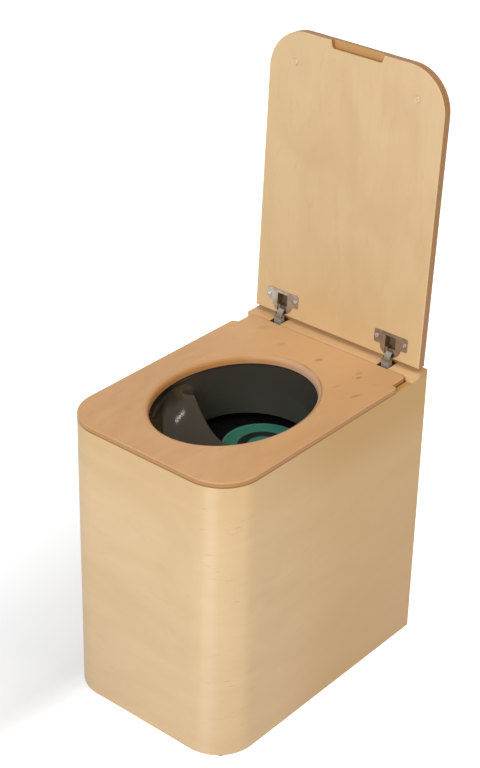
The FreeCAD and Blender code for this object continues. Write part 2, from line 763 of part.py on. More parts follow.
pieces = {
    "casing_shell": make_casing_shell(),
    "rear_panel": make_rear_panel(),
    "base_panel": make_base_panel(),
    "hinge_rail": make_hinge_rail(),
    "glides": make_glides(),
    "plate_screws": make_plate_screws(),
    "arm_screws": make_arm_screws(),
    "seat_board": make_seat_board(),
    "urine_diverter": make_urine_diverter(),
    "diverter_screws": make_diverter_screws(),
    "solids_bucket": make_solids_bucket(),
    "bucket_lid": make_bucket_lid(),
    "bucket_label": make_bucket_label(),
    "urine_canister": make_urine_canister(),
    "lid_board": make_lid_board(),
    "cup_screws": make_cup_screws(),
}
for side, hinge_x in zip(("left", "right"), hinge_xs):
    pieces["hinge_plate_" + side] = make_hinge_plate(hinge_x)
    pieces["hinge_arm_" + side] = make_hinge_arm(hinge_x)
    pieces["arm_pin_" + side] = make_arm_pin(hinge_x)
    pieces["hinge_link_" + side] = make_hinge_link(hinge_x)
    pieces["hinge_cup_" + side] = make_hinge_cup(hinge_x)
    pieces["cup_pin_" + side] = make_cup_pin(hinge_x)
for side, sign in (("left", -1), ("right", 1)):
    pieces["lid_bumper_" + side] = make_lid_bumper(sign * bumper_x)

os.makedirs("parts", exist_ok=True)
for name, shape in pieces.items():
    shape.translate(vec(0, -lid_overhang / 2, 0))
    shape.exportStep("parts/" + name + ".step")
    print(name, len(shape.Solids), shape.isValid(), round(shape.Volume))
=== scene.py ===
import json
import math
import bmesh
import bpy
import numpy as np
from mathutils import Matrix, Vector


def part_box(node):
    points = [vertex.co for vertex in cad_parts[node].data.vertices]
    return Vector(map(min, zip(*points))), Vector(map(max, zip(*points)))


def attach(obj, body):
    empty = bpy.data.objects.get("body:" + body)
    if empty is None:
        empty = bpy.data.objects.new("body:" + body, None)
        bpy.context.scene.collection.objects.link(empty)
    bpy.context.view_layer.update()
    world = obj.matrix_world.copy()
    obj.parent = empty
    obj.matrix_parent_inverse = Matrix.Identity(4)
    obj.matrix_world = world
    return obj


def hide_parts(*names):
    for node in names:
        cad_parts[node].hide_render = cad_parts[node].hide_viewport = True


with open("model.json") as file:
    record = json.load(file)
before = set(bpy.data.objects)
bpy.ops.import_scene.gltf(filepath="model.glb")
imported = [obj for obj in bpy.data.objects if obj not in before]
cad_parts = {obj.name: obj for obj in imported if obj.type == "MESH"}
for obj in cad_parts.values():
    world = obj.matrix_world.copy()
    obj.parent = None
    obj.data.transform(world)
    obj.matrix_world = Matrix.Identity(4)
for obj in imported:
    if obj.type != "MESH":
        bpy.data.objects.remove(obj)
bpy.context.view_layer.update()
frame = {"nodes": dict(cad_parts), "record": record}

# Sizes of the toilet in metres, in the frame's own axes: +Z up, the sitter faces -Y
casing_low, casing_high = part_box("casing_shell")
seat_low, seat_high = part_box("seat_board")
label_low, label_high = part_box("bucket_label")
bucket_lid_low, bucket_lid_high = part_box("bucket_lid")
bucket_low, bucket_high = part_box("solids_bucket")
corner_radius = 0.061
casing_wall = 0.010
casing_edge_round = 0.0007
rear_wall = 0.012
veneer = 0.0012
casing_layer = 0.0014
lid_layer = 0.0013
lid_thickness = 0.015
lid_setback = 0.0206
lid_gap = 0.0073
lid_lean = math.radians(2.56)
lean_cos, lean_sin = math.cos(lid_lean), math.sin(lid_lean)
lid_base = Vector((0, casing_high.y - lid_setback, seat_high.z + lid_gap))
hinge_inset = 0.052
hinge_x = casing_high.x - hinge_inset
hole_middle = Vector((0, -0.033737, 0))
hole_half_width = 0.103
hole_half_length = 0.1315
hole_round = 0.008

# The casing unrolled: the lengths of a side, a bend, the front and the whole
side_run = casing_high.y - casing_low.y - corner_radius
bend_run = corner_radius * math.pi / 2
front_run = 2 * (casing_high.x - corner_radius)
whole_run = 2 * (side_run + bend_run) + front_run

# The separating insert, hung under the seat
insert_rim_z = seat_low.z
insert_wall = 0.003
insert_foot_z = 0.355
flange_width = 0.015
flange_half_width = hole_half_width + flange_width
flange_half_length = hole_half_length + flange_width
rim_gap = 0.001
rim_half_width = hole_half_width + rim_gap
rim_half_length = hole_half_length + rim_gap
chute_radius = 0.093
chute_y = 0.002259
foot_front_reach = 0.149
drain_y = -0.118741
drain_radius = 0.011
drain_depth = 0.108
spout_z = 0.305
lip_radius = 0.1442
lip_centre_y = 0.0949
lip_end = np.array([0.0975, -0.0113, 0.404])
lip_blend = 0.004
lip_fall = 0.1
lip_fall_start, lip_fall_end = -0.004, -0.012
bowl_reach = 0.178
floor_fillet = 0.034
fillet_full_share = 0.32
fillet_full_ahead = 0.045
drain_edge_in, drain_edge_out = 0.0015, 0.0005
open_margin, open_rise = 0.0016, 0.001
melt_radius = 0.022

# The insert's grid: rays and how they crowd to the front, rows on each stretch, and passes that even it
insert_rays = 288
ray_crowding = 0.55
flange_steps = 4
wall_steps = 84
apron_steps = 33
ridge_rows = 7.0
ridge_passes = 10
melt_passes = 100
insert_crisp_deg = 60
screw_crisp_deg = 35


class Wire:
    """A shader value that takes part in expressions: each operator adds one Math node."""

    def __init__(self, finish, socket):
        self.finish = finish
        self.socket = socket

    def __add__(self, other):
        return self.finish.math("ADD", self, other)

    def __radd__(self, other):
        return self.finish.math("ADD", other, self)

    def __sub__(self, other):
        return self.finish.math("SUBTRACT", self, other)

    def __rsub__(self, other):
        return self.finish.math("SUBTRACT", other, self)

    def __mul__(self, other):
        return self.finish.math("MULTIPLY", self, other)

    def __rmul__(self, other):
        return self.finish.math("MULTIPLY", other, self)

    def __truediv__(self, other):
        return self.finish.math("DIVIDE", self, other)

    def __rtruediv__(self, other):
        return self.finish.math("DIVIDE", other, self)

    def __neg__(self):
        return self.finish.math("MULTIPLY", self, -1.0)


class Finish:
    """A material under construction: its node tree, and one method that adds any node."""

    def __init__(self, name):
        self.material = bpy.data.materials.new(name)
        self.material.use_nodes = True
        self.tree = self.material.node_tree
        self.tree.nodes.clear()

    def node(self, kind, settings, inputs, output=0):
        """Adds a node: its settings first, then the values or links of its sockets."""
        made = self.tree.nodes.new(kind)
        for key, value in settings.items():
            setattr(made, key, value)
        for key, value in inputs.items():
            if isinstance(value, Wire):
                self.tree.links.new(value.socket, made.inputs[key])
            else:
                made.inputs[key].default_value = value
        return Wire(self, made.outputs[output]) if made.outputs else None

    def math(self, operation, *values):
        """One Math node on numbers or wires."""
        return self.node("ShaderNodeMath", {"operation": operation}, dict(enumerate(values)))

    def place(self, source="Object"):
        """Where a point lies: on the piece's own axes, or on its unrolled UV map."""
        return self.node("ShaderNodeTexCoord", {}, {}, source)

    def turned(self, place, shift=(0, 0, 0), turn=(0, 0, 0), scale=(1, 1, 1)):
        """A place stretched, turned and moved by a Mapping node."""
        return self.node("ShaderNodeMapping", {}, {0: place, 1: shift, 2: turn, 3: scale})

    def part(self, place, axis):
        """One of the three numbers of a place."""
        return self.node("ShaderNodeSeparateXYZ", {}, {0: place}, "XYZ".index(axis))

    def noise(self, place, scale, detail=2.0, roughness=0.5, distortion=0.0):
        """Smooth noise between 0 and 1, with its own stretch along each axis."""
        values = {"Vector": self.turned(place, scale=scale), "Scale": 1.0, "Detail": detail}
        values.update({"Roughness": roughness, "Distortion": distortion})
        return self.node("ShaderNodeTexNoise", {"noise_dimensions": "3D"}, values)

    def step(self, value, low, high):
        """0 below low, 1 above high and a smooth rise between."""
        settings = {"interpolation_type": "SMOOTHSTEP", "clamp": True}
        return self.node("ShaderNodeMapRange", settings, {0: value, 1: low, 2: high, 3: 0.0, 4: 1.0})

    def between(self, value, low, high, soft):
        """1 from low to high, 0 outside, with soft ends."""
        return self.step(value, low - soft, low + soft) * (1 - self.step(value, high - soft, high + soft))

    def mix(self, share, first, second):
        """The second colour over the first, by a share."""
        colours = [c if isinstance(c, Wire) else (*c, 1.0) for c in (first, second)]
        inputs = {0: share, 6: colours[0], 7: colours[1]}
        return self.node("ShaderNodeMix", {"data_type": "RGBA"}, inputs, 2)

    def reach(self, place, middle, halves):
        """How far a place lies from a middle, as a share of an oval's half sizes.

        An axis whose half size is 0 is left out.
        """
        scale = [1 / half if half else 0.0 for half in halves]
        shift = [-m * s for m, s in zip(middle, scale)]
        local = self.turned(place, shift=shift, scale=scale)
        return self.node("ShaderNodeVectorMath", {"operation": "LENGTH"}, {0: local}, 1)

    def bump(self, height, distance):
        """The shading normal of a relief whose height runs from 0 to 1 over a distance."""
        return self.node("ShaderNodeBump", {}, {"Distance": distance, "Height": height})

    def surface(self, **values):
        """Ends the tree in a Principled surface with these sockets."""
        sockets = {key.replace("_", " "): value for key, value in values.items()}
        shader = self.node("ShaderNodeBsdfPrincipled", {}, sockets)
        self.node("ShaderNodeOutputMaterial", {}, {0: shader})
        return self.material


# The veneer's noises: stretch along and across the grain, the span of each that shows, and its share
cloud_scale = (6, 12, 12)
band_scale = (1.6, 30, 30)
thread_scale = (10, 460, 460)
mark_scale = (24, 95, 95)
dash_scale = (100, 700, 700)
dash_gate_scale = (8, 18, 18)
tone_span = (0.34, 0.68)
thread_span = (0.35, 0.75)
mark_span = (0.58, 0.74)
dash_span = (0.68, 0.76)
dash_gate_span = (0.54, 0.68)
cloud_share, band_share = 0.72, 0.28
mark_share, thread_share, dash_share = 0.6, 0.14, 0.35


def grain(finish, place, pale, deep, fleck, bold=1.0):
    """Veneer figure on a place whose first axis runs along the grain.

    Broad clouds, long drawn-out bands and short wavy marks turn the pale tone towards the deep one, fine
    threads run along the grain, and sparse short dashes take the fleck tone. Returns the colour, and a
    relief that sinks in the dashes.
    """
    clouds = finish.noise(place, cloud_scale, detail=4, distortion=1.2)
    bands = finish.noise(place, band_scale, detail=4, roughness=0.6, distortion=0.5)
    threads = finish.noise(place, thread_scale, detail=3, roughness=0.6)
    marks = finish.noise(place, mark_scale, detail=2, distortion=1.0)
    dash_field = finish.noise(place, dash_scale, detail=1)
    dash_gate = finish.noise(place, dash_gate_scale, detail=2)
    dashes = finish.step(dash_field, *dash_span) * finish.step(dash_gate, *dash_gate_span)
    tone = finish.step(clouds * cloud_share + bands * band_share, *tone_span)
    colour = finish.mix(tone * bold, pale, deep)
    colour = finish.mix(finish.step(marks, *mark_span) * (mark_share * bold), colour, deep)
    colour = finish.mix(finish.step(threads, *thread_span) * (thread_share * bold), colour, deep)
    colour = finish.mix(dashes * dash_share, colour, fleck)
    relief = threads * 0.7 + bands * 0.3 - dashes * 0.4
    return colour, relief


# Where a pair of layers changes tone, and the stretch of one layer that is clear of glue
layer_change = (0.47, 0.53)
glue_free, glue_soft = (0.07, 0.95), 0.06


def plies(finish, depth, layer, pale, deep, glue, line_share=0.8):
    """Edge of a plywood board by depth below its face.

    Deep and pale layers take turns, with thin glue lines between them.
    """
    count = depth / layer
    share = finish.math("FRACT", count)
    pair = finish.math("FRACT", count * 0.5)
    colour = finish.mix(finish.step(pair, *layer_change), deep, pale)
    line = 1 - finish.between(share, *glue_free, glue_soft)
    return finish.mix(line * line_share, colour, glue)


def inner_plies(finish, depth, thickness):
    """1 between the two face veneers of a board, 0 in them."""
    soft = veneer * 0.12
    return finish.between(depth, veneer + soft, thickness - veneer - soft, soft)


# Tones of the birch, and its lacquer
birch_pale = (0.728, 0.508, 0.277)
birch_deep = (0.662, 0.446, 0.228)
birch_gold = (0.570, 0.336, 0.114)
birch_fleck = (0.300, 0.160, 0.065)
edge_pale = (0.560, 0.300, 0.112)
edge_deep = (0.240, 0.092, 0.024)
glue_tone = (0.120, 0.052, 0.018)
lid_gold = (0.760, 0.500, 0.232)
satin_roughness = 0.36
wood_specular = 0.25
grain_height = 0.0001

# Marks and golden zones of the casing's veneer, in metres on the unrolled sheet
bend_soft = 0.012
check_scale = (32, 520, 1)
knot_from_rear = 0.009
knot_height = 0.4117
knot_half_sizes = (0.005, 0.0022, 0)
check_span, check_share = (0.71, 0.78), 0.5
knot_span, knot_share = (0.3, 1.0), 0.7
top_gold_height = 0.11
foot_gold_height = 0.25
gold_bend_share, gold_side_share = 0.8, 0.4
rear_gold, rear_foot_gold, rear_top_gold, top_gold = 0.56, 0.2, 0.25, 0.35
lid_foot_span, lid_gold_share = (0.02, 0.24), 0.35


def lacquered(finish, colour, relief, **extra):
    """Satin lacquer on wood: a fine relief and a roughness that follows it."""
    values = {"Base_Color": colour, "Roughness": satin_roughness + relief * 0.14}
    return finish.surface(**values, Normal=finish.bump(relief, grain_height), **extra)


def casing_finish():
    """Bent birch: the grain runs level round the bends on the unrolled map, and ply lines show by depth.

    Short dark checks cross the two bends, where the veneer was pulled round, and one small knot sits at
    the rear of the right side. The tone turns golden towards the top edge and towards the rear ends, there
    a little more at the top and at the foot.
    """
    finish = Finish("bent_birch")
    unrolled = finish.place("UV")
    run, height = finish.part(unrolled, "X"), finish.part(unrolled, "Y")
    colour, relief = grain(finish, unrolled, birch_pale, birch_deep, birch_fleck, bold=0.75)
    bend_starts = (side_run, side_run + bend_run + front_run)
    bends = [finish.between(run, start, start + bend_run, bend_soft) for start in bend_starts]
    checks = finish.step(finish.noise(unrolled, check_scale, detail=1), *check_span)
    colour = finish.mix(checks * (bends[0] + bends[1]) * check_share, colour, birch_fleck)
    knot = finish.reach(unrolled, (whole_run - knot_from_rear, knot_height, 0), knot_half_sizes)
    colour = finish.mix((1 - finish.step(knot, *knot_span)) * knot_share, colour, birch_fleck)
    from_front = finish.math("ABSOLUTE", run - whole_run / 2)
    gold_start = front_run / 2 + bend_run * gold_bend_share
    rearwards = finish.step(from_front, gold_start, whole_run / 2 - side_run * gold_side_share)
    at_top = finish.step(height, casing_high.z - top_gold_height, casing_high.z)
    at_foot = 1 - finish.step(height, casing_low.z, casing_low.z + foot_gold_height)
    at_rear = rearwards * (at_foot * rear_foot_gold + at_top * rear_top_gold + rear_gold)
    colour = finish.mix(at_rear + at_top * top_gold, colour, birch_gold)
    depth = finish.node("ShaderNodeAttribute", {"attribute_name": "depth"}, {}, "Fac")
    edge = plies(finish, depth, casing_layer, birch_gold, edge_pale, edge_deep, line_share=0.25)
    colour = finish.mix(inner_plies(finish, depth, casing_wall), colour, edge)
    return lacquered(finish, colour, relief, Anisotropic=1.0, Anisotropic_Rotation=0.25, IOR=1.65)


def panel_finish():
    """The birch of the rear and base panels, turned so that the grain stands upright."""
    finish = Finish("panel_birch")
    along = finish.turned(finish.place(), turn=(0, math.pi / 2, 0))
    colour, relief = grain(finish, along, birch_pale, birch_deep, birch_fleck)
    return lacquered(finish, colour, relief, Specular_IOR_Level=wood_specular)


rail_pale = (0.820, 0.540, 0.275)
rail_deep = (0.740, 0.465, 0.220)
# Painted shadow: the rail's top under the open lid is darkened to this brown
rail_shade = (0.550, 0.295, 0.085)
# Painted shade in the hinge pockets cut into the rail
pocket_painted_shade = (0.200, 0.085, 0.024)
pocket_half_width = 0.010
pocket_rear_y = casing_high.y - rear_wall
pocket_soft_low, pocket_soft_high = 0.0002, 0.0006
shade_ahead, shade_behind = 0.004, 0.008


def rail_finish():
    """The rail's birch: grain along it, a painted shadow below the open lid, and painted shade in the
    pockets of the hinges.
    """
    finish = Finish("rail_birch")
    place = finish.place()
    x, y, z = [finish.part(place, axis) for axis in "XYZ"]
    colour, relief = grain(finish, place, rail_pale, rail_deep, birch_fleck)
    # Painted shadow on the rail's top below the open lid
    shaded = finish.step(y, lid_base.y - shade_ahead, lid_base.y + shade_behind)
    colour = finish.mix(shaded, colour, rail_shade)
    from_hinge = finish.math("ABSOLUTE", finish.math("ABSOLUTE", x) - hinge_x)
    low, high = pocket_soft_low, pocket_soft_high
    across = 1 - finish.step(from_hinge, pocket_half_width + low, pocket_half_width + high)
    ahead = 1 - finish.step(y, pocket_rear_y + low, pocket_rear_y + high)
    below = 1 - finish.step(z, seat_high.z - 0.0014, seat_high.z - 0.0004)
    # Painted shade: dark brown in the hinge pockets
    colour = finish.mix(across * ahead * below, colour, pocket_painted_shade)
    return lacquered(finish, colour, relief, Specular_IOR_Level=wood_specular)


def leaning_place(finish):
    """A place on the open lid's own axes: across, into the board and up it."""
    return finish.turned(finish.turned(finish.place(), shift=-lid_base), turn=(lid_lean, 0, 0))


def lid_finish():
    """The lid's birch: grain up the board, golden near its foot, and brown plies by depth from its face."""
    finish = Finish("lid_birch")
    leaning = leaning_place(finish)
    along = finish.turned(leaning, turn=(0, math.pi / 2, 0))
    colour, relief = grain(finish, along, birch_pale, birch_deep, birch_fleck, bold=0.9)
    footwards = 1 - finish.step(finish.part(leaning, "Z"), *lid_foot_span)
    colour = finish.mix(footwards * lid_gold_share, colour, lid_gold)
    depth = finish.part(leaning, "Y")
    edge = plies(finish, depth, lid_layer, edge_pale, edge_deep, glue_tone)
    colour = finish.mix(inner_plies(finish, depth, lid_thickness), colour, edge)
    return lacquered(finish, colour, relief, Specular_IOR_Level=wood_specular)


seat_pale = (0.660, 0.382, 0.188)
seat_deep = (0.590, 0.325, 0.148)
seat_gold = (0.760, 0.475, 0.235)
seat_edge = (0.460, 0.235, 0.085)
# Glue lines in the hole's edge, and the painted shadow line along the lip's foot
glue_and_shadow_line = (0.300, 0.140, 0.045)
# Painted shadow at the foot of the hole's edge
hole_foot_painted_shadow = (0.030, 0.014, 0.006)
bevel_top = (0.600, 0.345, 0.170)
bevel_low = (0.720, 0.450, 0.275)
bevel_brown = (0.600, 0.285, 0.105)
# Checks and knots in the seat's veneer: place across and along, half length, half width and strength
seat_checks = [
    (0.0842, 0.0834, 0.0120, 0.0009, 0.65),
    (0.1208, 0.0809, 0.0125, 0.0018, 1.0),
    (0.0931, 0.1238, 0.0060, 0.0024, 1.0),
    (0.1220, 0.1232, 0.0120, 0.0009, 0.40),
    (0.0200, 0.1265, 0.0100, 0.0050, 0.55),
    (0.0858, 0.1335, 0.0080, 0.0040, 0.40),
    (-0.0484, 0.1269, 0.0120, 0.0070, 0.25),
    (-0.1018, 0.1496, 0.0140, 0.0080, 0.22),
]
check_slant = math.radians(18)
slant_span = (0.2, 1.0)
seat_rear_span, seat_right_span = (-0.02, 0.15), (0.02, 0.14)
seat_gold_share, rear_right_shade_share = 0.55, 0.5

# The seat's edges: depths below its top, and the foot's above its underside
hole_edge_span = (0.0001, 0.0003)
bevel_painted_light_span = (0.0015, 0.0060)
bevel_brown_span = (0.0016, 0.0034)
bevel_line_span, bevel_line_soft, bevel_line_share = (0.0003, 0.0014), 0.0003, 0.6
bevel_foot_start, bevel_foot_end = 0.0020, 0.0012
lip_shadow_span = (0.0054, 0.0066)
hole_left_span = (-0.07, 0.05)
patch_scale, patch_span = (14, 14, 14), (0.28, 0.44)
hole_edge_reach = 1.2 * hole_round


def hole_edge_tone(finish, place, depth):
    """Tone of the hole's rounded edge by depth below the seat's top.

    The rounding gets paler downwards, painted light that evens out the shade on its steep lower part, and
    the foot has a painted shadow. On the right a thin broken line runs along the top of the rounding, and
    on the left the layers below its top are brown.
    """
    # Painted light: the steep lower part of the rounding is made paler
    tone = finish.mix(finish.step(depth, *bevel_painted_light_span), bevel_top, bevel_low)
    patches = finish.step(finish.noise(place, patch_scale, detail=2), *patch_span)
    leftwards = 1 - finish.step(finish.part(place, "X"), *hole_left_span)
    band = finish.step(depth, *bevel_brown_span) * leftwards * (patches * 0.3 + 0.7)
    tone = finish.mix(band, tone, bevel_brown)
    line = finish.between(depth, *bevel_line_span, bevel_line_soft) * patches * (1 - leftwards)
    tone = finish.mix(line * bevel_line_share, tone, glue_and_shadow_line)
    thickness = seat_high.z - seat_low.z
    # Painted shadow at the foot of the hole's edge, above the insert
    foot = finish.step(depth, thickness - bevel_foot_start, thickness - bevel_foot_end)
    return finish.mix(foot, tone, hole_foot_painted_shadow)


def seat_finish():
    """The seat's reddish veneer, grain front to back, with slanting checks and knots near the rear.

    The rear is more golden, and darker again to the right, a painted shade near the lid and hinges. The
    hole's rounded edge has tones of its own, and the lip's outer edge is plain brown with a painted shadow
    line along its foot.
    """
    finish = Finish("seat_wood")
    place = finish.place()
    x, y, z = [finish.part(place, axis) for axis in "XYZ"]
    along = finish.turned(place, turn=(0, 0, math.pi / 2))
    colour, relief = grain(finish, along, seat_pale, seat_deep, birch_fleck, bold=0.9)
    rear = finish.step(y, *seat_rear_span)
    colour = finish.mix(rear * seat_gold_share, colour, seat_gold)
    # Painted shade: the seat's right rear, near the lid and hinges, turns deeper
    rear_right = rear * finish.step(x, *seat_right_span)
    colour = finish.mix(rear_right * rear_right_shade_share, colour, seat_deep)
    for check_x, check_y, half_length, half_width, strength in seat_checks:
        moved = finish.turned(place, shift=(-check_x, -check_y, 0))
        slanted = finish.turned(moved, turn=(0, 0, check_slant))
        check = finish.reach(slanted, (0, 0, 0), (half_width, half_length, 0))
        colour = finish.mix((1 - finish.step(check, *slant_span)) * strength, colour, birch_fleck)
    depth = seat_high.z - z
    halves = (hole_half_width + hole_edge_reach, hole_half_length + hole_edge_reach, 0)
    outside = finish.step(finish.reach(place, hole_middle, halves), 0.99, 1.01)
    hole_edge = finish.step(depth, *hole_edge_span) * (1 - outside)
    colour = finish.mix(hole_edge, colour, hole_edge_tone(finish, place, depth))
    # Painted shadow: a dark line along the lip's foot, where it meets the casing
    lip_edge = finish.mix(finish.step(depth, *lip_shadow_span), seat_edge, glue_and_shadow_line)
    colour = finish.mix(finish.step(depth, veneer * 0.6, veneer) * outside, colour, lip_edge)
    return lacquered(finish, colour, relief, Specular_IOR_Level=wood_specular)


black = (0.0, 0.0, 0.0)
insert_grey = (0.057, 0.049, 0.038)
bowl_grey = (0.044, 0.031, 0.014)
wall_painted_shade = (0.010, 0.008, 0.006)
# Black plastic, made darker still as painted shade for the deep shade it sits in
bucket_black_and_shade = (0.004, 0.004, 0.004)
canister_white = (0.74, 0.74, 0.69)
glide_grey = (0.035, 0.030, 0.026)

# The insert's zones in metres: where the bowl ends, where the lip begins, and the upper side walls
bowl_end_span, lip_span = (-0.035, -0.005), (-0.060, -0.036)
wall_x_span, wall_z_span = (0.068, 0.085), (0.411, 0.424)
insert_roughness, wall_dullness, insert_mottle = 0.08, 0.25, 0.12


def moulded(finish, colour, roughness, mottle, skin=0.00003, **extra):
    """Ends a moulded plastic: a slight mottle of its tone and a fine skin of a given height."""
    soft = finish.noise(finish.place(), (18, 18, 18), detail=3)
    bumps = finish.noise(finish.place(), (900, 900, 900), detail=2)
    values = {"Base_Color": finish.mix(soft * mottle, colour, black), "Roughness": soft * 0.06 + roughness}
    return finish.surface(**values, Normal=finish.bump(bumps, skin), **extra)


def plastic_finish(name, colour, roughness, mottle, **extra):
    """Moulded plastic of one colour."""
    return moulded(Finish(name), colour, roughness, mottle, **extra)


def insert_finish():
    """The insert's smooth dark plastic, warmer in the bowl.

    High on the bowl's side walls, in front of the dividing lip, it has a painted shade and is duller.
    """
    finish = Finish("insert_plastic")
    x, y, z = [finish.part(finish.place(), axis) for axis in "XYZ"]
    in_bowl = 1 - finish.step(y, *bowl_end_span)
    off_lip = 1 - finish.step(y, *lip_span)
    beside = finish.step(finish.math("ABSOLUTE", x), *wall_x_span) * finish.step(z, *wall_z_span) * off_lip
    # Painted shade high on the bowl's side walls, in front of the lip
    tone = finish.mix(beside, finish.mix(in_bowl, insert_grey, bowl_grey), wall_painted_shade)
    return moulded(finish, tone, beside * wall_dullness + insert_roughness, insert_mottle, IOR=1.36)


pin_grey = (0.50, 0.48, 0.45)
screw_grey = (0.62, 0.58, 0.53)
nickel_pale = (0.46, 0.40, 0.34)
nickel_deep = (0.34, 0.28, 0.22)
strap_grey = (0.250, 0.210, 0.172)
# Painted shade in the hinge cups
cup_painted_shade = (0.160, 0.090, 0.036)
# Painted light on the hinge feet, standing for lit metal
foot_painted_light = (0.520, 0.490, 0.450)
brush_scale = (60, 900, 900)
fine_height = 0.00002

# The hinges' zones on the lid's leaning axes: into the lid for cups and straps, up it for cups and feet
cup_into_span, strap_span = (0.0002, 0.0016), (-0.0050, -0.0028)
cup_up_span, foot_up_span = (0.0, 0.002), (-0.006, 0.001)


def metal_finish(name, colour, roughness):
    """Plated steel: faint brushing and a little staining in its tone."""
    finish = Finish(name)
    stain = finish.noise(finish.place(), (55, 55, 55), detail=4)
    lines = finish.noise(finish.place(), brush_scale, detail=2)
    duller = tuple(c * 0.72 for c in colour)
    tone = finish.mix(finish.step(stain, 0.4, 0.7), colour, duller)
    values = {"Base_Color": tone, "Roughness": roughness + lines * 0.12}
    return finish.surface(**values, Normal=finish.bump(lines, fine_height), Metallic=1.0)


def hinge_finish():
    """Nickel-plated pressed steel, dull with handling.

    It has painted shade in the cups, which lie behind the lid's face on the leaning axes, is grey on the
    straps, which stand clear in front of it, and has painted light at the feet, which lie below the lid.
    """
    finish = Finish("hinge_nickel")
    leaning = leaning_place(finish)
    into, up = finish.part(leaning, "Y"), finish.part(leaning, "Z")
    in_cup = finish.step(into, *cup_into_span) * finish.step(up, *cup_up_span)
    strap = 1 - finish.step(into, *strap_span)
    foot = 1 - finish.step(up, *foot_up_span)
    stain = finish.noise(finish.place(), (90, 90, 90), detail=4)
    lines = finish.noise(finish.place(), brush_scale, detail=2)
    tone = finish.mix(finish.step(stain, 0.35, 0.7), nickel_pale, nickel_deep)
    tone = finish.mix(strap * 0.7, tone, strap_grey)
    # Painted shade in the cups
    tone = finish.mix(in_cup * 0.9, tone, cup_painted_shade)
    # Painted light on the feet
    tone = finish.mix(foot, tone, foot_painted_light)
    values = {"Base_Color": tone, "Roughness": 0.34 + lines * 0.14}
    metallic = 1 - in_cup * 0.8 - foot * 0.5
    return finish.surface(**values, Normal=finish.bump(lines, fine_height), Metallic=metallic)


label_green = (0.040, 0.215, 0.138)
label_light = (0.050, 0.245, 0.158)
label_dark = (0.006, 0.010, 0.009)
label_rim = (0.10, 0.30, 0.25)
ring_span, ring_soft, rim_span = (0.41, 0.63), 0.01, (0.95, 0.965)
clear_pale = (0.97, 0.78, 0.52)
clear_deep = (0.93, 0.74, 0.49)


def label_finish():
    """A printed paper disc: green with a plain dark ring and a lighter rim."""
    finish = Finish("label_paper")
    radius = (label_high.x - label_low.x) / 2
    far = finish.reach(finish.place(), (label_low + label_high) / 2, (radius, radius, 0))
    fibre = finish.noise(finish.place(), (700, 700, 700), detail=2)
    tone = finish.mix(fibre, label_green, label_light)
    tone = finish.mix(finish.between(far, *ring_span, ring_soft), tone, label_dark)
    tone = finish.mix(finish.step(far, *rim_span), tone, label_rim)
    values = {"Base_Color": tone, "Roughness": 0.42 + fibre * 0.1}
    return finish.surface(**values, Normal=finish.bump(fibre, fine_height))


def clear_finish():
    """Clear soft plastic with a faint haze, tinted by the wood behind it."""
    finish = Finish("bumper_clear")
    haze = finish.noise(finish.place(), (240, 240, 240), detail=2)
    tone = finish.mix(haze, clear_pale, clear_deep)
    return finish.surface(Base_Color=tone, Roughness=0.22 + haze * 0.1, Alpha=0.6)


bucket_look = {"skin": 0.00006, "Specular_IOR_Level": 0.2}
finishes = {
    "casing_birch": casing_finish(),
    "panel_birch": panel_finish(),
    "rail_birch": rail_finish(),
    "seat_wood": seat_finish(),
    "lid_birch": lid_finish(),
    "insert_plastic": insert_finish(),
    "bucket_plastic": plastic_finish("bucket_plastic", bucket_black_and_shade, 0.5, 0.2, **bucket_look),
    "label_paper": label_finish(),
    "canister_plastic": plastic_finish("canister_plastic", canister_white, 0.38, 0.08, skin=0.00008),
    "hinge_nickel": hinge_finish(),
    "pin_steel": metal_finish("pin_steel", pin_grey, 0.30),
    "screw_steel": metal_finish("screw_steel", screw_grey, 0.25),
    "bumper_clear": clear_finish(),
    "glide_rubber": plastic_finish("glide_rubber", glide_grey, 0.7, 0.3, skin=0.0001),
}
for part in frame["record"]["subparts"]:
    mesh = frame["nodes"][part["node"]].data
    mesh.materials.clear()
    mesh.materials.append(finishes[part["material_slot"]])


def grid_faces(rows, columns):
    """Quads between the neighbours of a grid of points whose last column joins the first."""
    i, j = np.meshgrid(np.arange(rows - 1), np.arange(columns), indexing="ij")
    j_next = (j + 1) % columns
    corners = [i * columns + j, (i + 1) * columns + j, (i + 1) * columns + j_next, i * columns + j_next]
    return np.stack(corners, -1).reshape(-1, 4)


def outward(points, faces):
    """The faces turned so that the shell's signed volume is above zero."""
    a, b, c, d = (points[faces[:, k]] for k in range(4))
    volume = np.einsum("ij,ij->", a, np.cross(b, c)) + np.einsum("ij,ij->", a, np.cross(c, d))
    return faces if volume > 0 else faces[:, ::-1]


same_place = 1e-7


def new_piece(name, points, faces, body, slot, nodes, crisp_deg):
    """Puts a surface into the scene as one smooth piece that rides on a body and stands for CAD nodes.

    Points that coincide, as at a pole, become one, and edges sharper than an angle stay crisp.
    """
    mesh = bpy.data.meshes.new(name)
    mesh.from_pydata(points.tolist(), [], [[int(corner) for corner in face] for face in faces])
    mesh.polygons.foreach_set("use_smooth", np.ones(len(mesh.polygons), bool))
    merged = bmesh.new()
    merged.from_mesh(mesh)
    bmesh.ops.remove_doubles(merged, verts=merged.verts, dist=same_place)
    bmesh.ops.delete(merged, geom=[v for v in merged.verts if not v.link_faces], context="VERTS")
    merged.to_mesh(mesh)
    merged.free()
    mesh.set_sharp_from_angle(angle=math.radians(crisp_deg))
    piece = bpy.data.objects.new(name, mesh)
    bpy.context.scene.collection.objects.link(piece)
    mesh.materials.append(finishes[slot])
    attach(piece, body)
    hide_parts(*nodes)
    return piece


